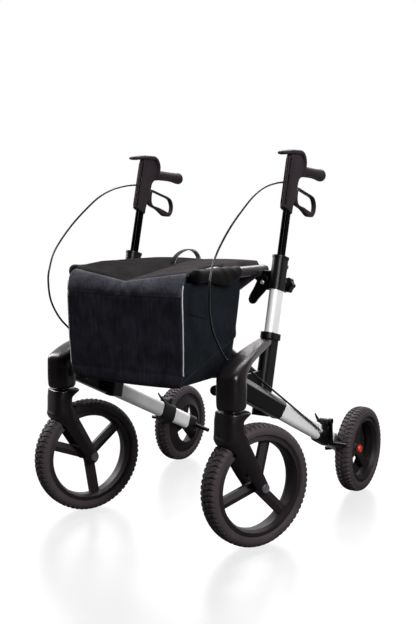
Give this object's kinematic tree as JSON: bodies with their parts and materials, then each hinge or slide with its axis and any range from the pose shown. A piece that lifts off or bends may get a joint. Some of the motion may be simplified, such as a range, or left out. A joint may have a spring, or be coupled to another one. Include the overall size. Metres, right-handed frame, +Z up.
{
  "type": "all terrain rollator",
  "caption": "Folding outdoor rollator with large lugged wheels, swivel front casters, height-adjustable handles, loop brakes, a seat and a soft bag.",
  "frame": {"origin": "centre of the bounding box, on the floor under the wheels", "axes": "+X to the left of the user who walks behind it, -Y forwards, +Z up"},
  "size_m": [0.6832, 0.8024, 0.9347],
  "materials": {
    "satin_silver": "satin anodised",
    "moulded_black": "satin moulded",
    "dark_plastic": "fine matt grain",
    "black_gloss_post": "gloss black coat",
    "grip_rubber": "soft matt",
    "steel": "turned",
    "rim_plastic": "satin moulded",
    "tread_rubber": "matt rubber",
    "red_cap": "gloss",
    "cable_sheath": "smooth sheath",
    "coated_steel": "satin powder coat",
    "seat_fabric": "smooth coated weave",
    "webbing": "woven webbing",
    "bag_fabric": "mottled coarse weave"
  },
  "bodies": {
    "left_frame": {"left_lower_tube": "satin_silver", "left_front_housing": "moulded_black", "left_upright_tube": "satin_silver", "left_upright_foot": "dark_plastic", "left_upright_collar": "moulded_black", "left_rail_saddle": "dark_plastic", "left_hinge_rod": "steel", "left_brake_clamp": "dark_plastic", "left_axle_carrier": "dark_plastic", "left_rear_axle": "steel", "left_brake_cable": "cable_sheath"},
    "left_handle": {"left_handle_post": "black_gloss_post", "left_handle_housing": "moulded_black", "left_grip": "grip_rubber", "left_lever_pin": "steel"},
    "left_lever": {"left_brake_lever": "moulded_black"},
    "left_brake": {"left_brake_arm": "dark_plastic"},
    "left_knob": {"left_height_knob": "dark_plastic"},
    "left_caster": {"left_caster_stem": "steel", "left_caster_fork": "moulded_black", "left_front_axle": "steel"},
    "left_front_wheel": {"left_front_rim": "rim_plastic", "left_front_tyre": "tread_rubber"},
    "left_rear_wheel": {"left_rear_rim": "rim_plastic", "left_rear_tyre": "tread_rubber", "left_rear_hub_cap": "red_cap"},
    "right_frame": {"right_lower_tube": "satin_silver", "right_front_housing": "moulded_black", "right_upright_tube": "satin_silver", "right_upright_foot": "dark_plastic", "right_upright_collar": "moulded_black", "right_rail_saddle": "dark_plastic", "right_hinge_rod": "steel", "right_brake_clamp": "dark_plastic", "right_axle_carrier": "dark_plastic", "right_rear_axle": "steel", "right_brake_cable": "cable_sheath"},
    "right_handle": {"right_handle_post": "black_gloss_post", "right_handle_housing": "moulded_black", "right_grip": "grip_rubber", "right_lever_pin": "steel"},
    "right_lever": {"right_brake_lever": "moulded_black"},
    "right_brake": {"right_brake_arm": "dark_plastic"},
    "right_knob": {"right_height_knob": "dark_plastic"},
    "right_caster": {"right_caster_stem": "steel", "right_caster_fork": "moulded_black", "right_front_axle": "steel"},
    "right_front_wheel": {"right_front_rim": "rim_plastic", "right_front_tyre": "tread_rubber"},
    "right_rear_wheel": {"right_rear_rim": "rim_plastic", "right_rear_tyre": "tread_rubber", "right_rear_hub_cap": "red_cap"},
    "cross_a": {"left_cross_arm": "coated_steel", "right_seat_rail": "coated_steel", "cross_pin": "steel"},
    "cross_b": {"right_cross_arm": "coated_steel", "left_seat_rail": "coated_steel"},
    "seat": {"seat_sling": "seat_fabric", "seat_strap": "webbing", "bag": "bag_fabric"}
  },
  "joints": [
    {"name": "fold", "type": "hinge", "parent": "left_frame", "child": "cross_a", "pos_m": [0.18529, -0.10632, 0.37], "axis": [0, 1, 0], "range_deg": [0, 31], "deforming": ["seat_sling", "bag", "seat_strap"]},
    {"name": "cross_pivot", "type": "hinge", "parent": "cross_a", "child": "cross_b", "pos_m": [-0.01271, -0.10632, 0.51007], "axis": [0, 1, 0], "range_deg": [-62, 0]},
    {"name": "right_frame_pivot", "type": "hinge", "parent": "cross_b", "child": "right_frame", "pos_m": [-0.21071, -0.10632, 0.37], "axis": [0, 1, 0], "range_deg": [0, 31]},
    {"name": "seat_lift", "type": "slide", "parent": "left_frame", "child": "seat", "axis": [0.5421, 0, 0.8403], "range_m": [0, 0.18526]},
    {"name": "left_handle_height", "type": "slide", "parent": "left_frame", "child": "left_handle", "axis": [0, 0.247, 0.969], "range_m": [-0.1, 0.06], "deforming": ["left_brake_cable"]},
    {"name": "left_brake_pull", "type": "hinge", "parent": "left_handle", "child": "left_lever", "pos_m": [0.21629, 0.01339, 0.83567], "axis": [1, 0, 0], "range_deg": [0, 14], "stiffness_Nm_per_rad": 1.5},
    {"name": "left_brake_press", "type": "hinge", "parent": "left_frame", "child": "left_brake", "pos_m": [0.21629, 0.15019, 0.21834], "axis": [1, 0, 0], "range_deg": [0, 5]},
    {"name": "left_knob_turn", "type": "hinge", "parent": "left_frame", "child": "left_knob", "pos_m": [0.21629, -0.02626, 0.59914], "axis": [0, 0.969, -0.247], "range_deg": [0, 360]},
    {"name": "left_swivel", "type": "hinge", "parent": "left_frame", "child": "left_caster", "pos_m": [0.24229, -0.32732, 0.334], "axis": [0, 0, 1], "continuous": true},
    {"name": "left_front_roll", "type": "hinge", "parent": "left_caster", "child": "left_front_wheel", "pos_m": [0.26888, -0.26149, 0.147], "axis": [0.9272, -0.3746, 0], "continuous": true},
    {"name": "left_rear_roll", "type": "hinge", "parent": "left_frame", "child": "left_rear_wheel", "pos_m": [0.29129, 0.28068, 0.119], "axis": [1, 0, 0], "continuous": true},
    {"name": "right_handle_height", "type": "slide", "parent": "right_frame", "child": "right_handle", "axis": [0, 0.247, 0.969], "range_m": [-0.1, 0.06], "deforming": ["right_brake_cable"]},
    {"name": "right_brake_pull", "type": "hinge", "parent": "right_handle", "child": "right_lever", "pos_m": [-0.24171, 0.01339, 0.83567], "axis": [1, 0, 0], "range_deg": [0, 14], "stiffness_Nm_per_rad": 1.5},
    {"name": "right_brake_press", "type": "hinge", "parent": "right_frame", "child": "right_brake", "pos_m": [-0.24171, 0.15019, 0.21834], "axis": [1, 0, 0], "range_deg": [0, 5]},
    {"name": "right_knob_turn", "type": "hinge", "parent": "right_frame", "child": "right_knob", "pos_m": [-0.24171, -0.02626, 0.59914], "axis": [0, 0.969, -0.247], "range_deg": [0, 360]},
    {"name": "right_swivel", "type": "hinge", "parent": "right_frame", "child": "right_caster", "pos_m": [-0.26771, -0.32732, 0.334], "axis": [0, 0, 1], "continuous": true},
    {"name": "right_front_roll", "type": "hinge", "parent": "right_caster", "child": "right_front_wheel", "pos_m": [-0.24111, -0.26149, 0.147], "axis": [0.9272, -0.3746, 0], "continuous": true},
    {"name": "right_rear_roll", "type": "hinge", "parent": "right_frame", "child": "right_rear_wheel", "pos_m": [-0.31671, 0.28068, 0.119], "axis": [1, 0, 0], "continuous": true}
  ],
  "couplings": [
    {"joint": "cross_pivot", "follows": "fold", "ratio": -2},
    {"joint": "right_frame_pivot", "follows": "fold", "ratio": 1},
    {"joint": "seat_lift", "follows": "fold", "m_per_rad": 0.34238},
    {"joint": "left_brake_press", "follows": "left_brake_pull", "ratio": 0.3571},
    {"joint": "right_brake_press", "follows": "right_brake_pull", "ratio": 0.3571}
  ]
}
